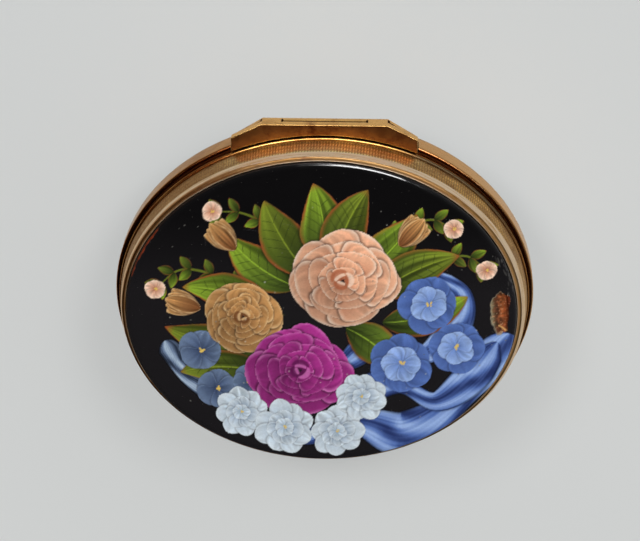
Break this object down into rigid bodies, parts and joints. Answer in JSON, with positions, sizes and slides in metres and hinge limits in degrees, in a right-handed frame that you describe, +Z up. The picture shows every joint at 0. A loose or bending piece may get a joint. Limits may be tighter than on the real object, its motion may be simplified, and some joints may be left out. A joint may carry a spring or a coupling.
{
  "type": "porcelain box",
  "caption": "Oval keepsake box with a domed porcelain plaque in a hinged gilt metal lid and a porcelain bowl in a gilt metal rim.",
  "frame": {"origin": "middle of the flat underside that the box rests on", "axes": "+Z up through the lid's plaque, +Y towards the hinge, +X along the oval's long side, to the right when the hinge is furthest away"},
  "size_m": [0.0702, 0.0585, 0.0293],
  "materials": {
    "plaque_glaze": "glossy black glaze with overglaze painting",
    "bowl_glaze": "glossy black glaze outside, white inside",
    "cement": "matt brown cement",
    "back_plate_gilt": "bright gilt",
    "bezel_gilt": "gilt, worn pale",
    "milled_gilt": "gilt, engine-turned hatching",
    "skirt_gilt": "smooth gilt",
    "hinge_gilt": "smooth gilt, darkened",
    "rim_gilt": "brushed gilt",
    "collar_gilt": "bright gilt",
    "pin_brass": "drawn wire"
  },
  "bodies": {
    "base": {"base_bowl": "bowl_glaze", "base_rim": "rim_gilt", "base_collar": "collar_gilt", "base_hinge_leaf": "hinge_gilt", "hinge_pin": "pin_brass"},
    "lid": {"plaque": "plaque_glaze", "plaque_bed": "cement", "lid_back_plate": "back_plate_gilt", "lid_bezel": "bezel_gilt", "lid_milled_band": "milled_gilt", "lid_closing_rim": "skirt_gilt", "lid_hinge_leaf": "hinge_gilt"}
  },
  "joints": [
    {"name": "lid_hinge", "type": "hinge", "parent": "base", "child": "lid", "pos_m": [0, 0.0288, 0.0162], "axis": [-1, 0, 0], "range_deg": [0, 100]}
  ]
}
